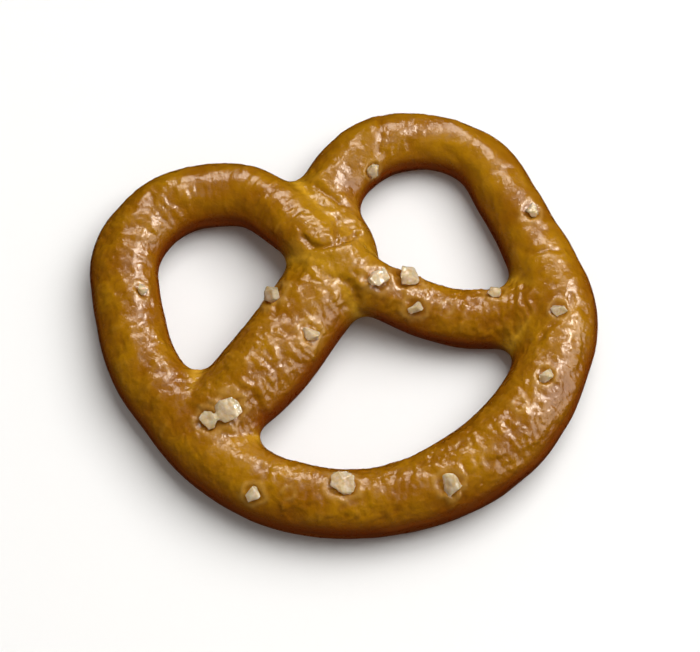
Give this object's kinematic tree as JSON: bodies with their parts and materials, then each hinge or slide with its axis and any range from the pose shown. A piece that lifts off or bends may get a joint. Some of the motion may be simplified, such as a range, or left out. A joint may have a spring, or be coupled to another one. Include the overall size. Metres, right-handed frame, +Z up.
{
  "type": "pretzel",
  "caption": "Small hard-baked pretzel twist with glossy brown crust: two lobes and an arch, arms crossed once in a fused knot, coarse salt on top.",
  "frame": {"origin": "under the middle of the pretzel, on the flat face it lies on", "axes": "+X along the width, from the left lobe to the right lobe; +Y from the arch to the lobes; +Z up out of the salted side"},
  "size_m": [0.0482, 0.0436, 0.0086],
  "materials": {
    "crust": "glossy golden-brown baked crust, finely wrinkled",
    "salt": "translucent off-white coarse salt"
  },
  "bodies": {
    "root": {"pretzel": "crust"}
  },
  "joints": []
}
